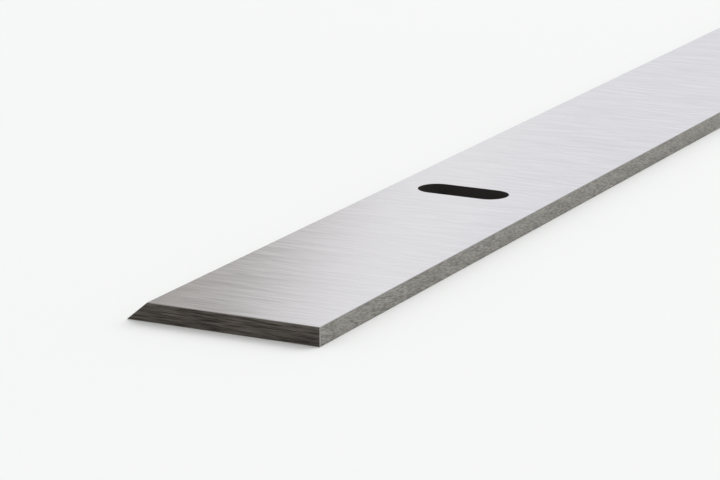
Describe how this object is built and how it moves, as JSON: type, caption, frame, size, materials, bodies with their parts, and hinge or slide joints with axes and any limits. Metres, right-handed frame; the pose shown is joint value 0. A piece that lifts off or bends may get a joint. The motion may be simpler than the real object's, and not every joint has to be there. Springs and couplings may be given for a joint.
{
  "type": "planer knife",
  "caption": "Flat bar of ground tool steel with a long bevelled cutting edge and short clamping slots milled across it.",
  "frame": {"origin": "middle of the wide face, half way along the knife and half way across its width, the wide face down at Z = 0", "axes": "+X along the knife, +Y across it from the cutting edge to the back edge, +Z through its thickness, out of the upper face"},
  "size_m": [0.3174, 0.032, 0.003],
  "materials": {
    "planer_knife": "ground"
  },
  "bodies": {
    "root": {"planer_knife": "planer_knife"}
  },
  "joints": []
}
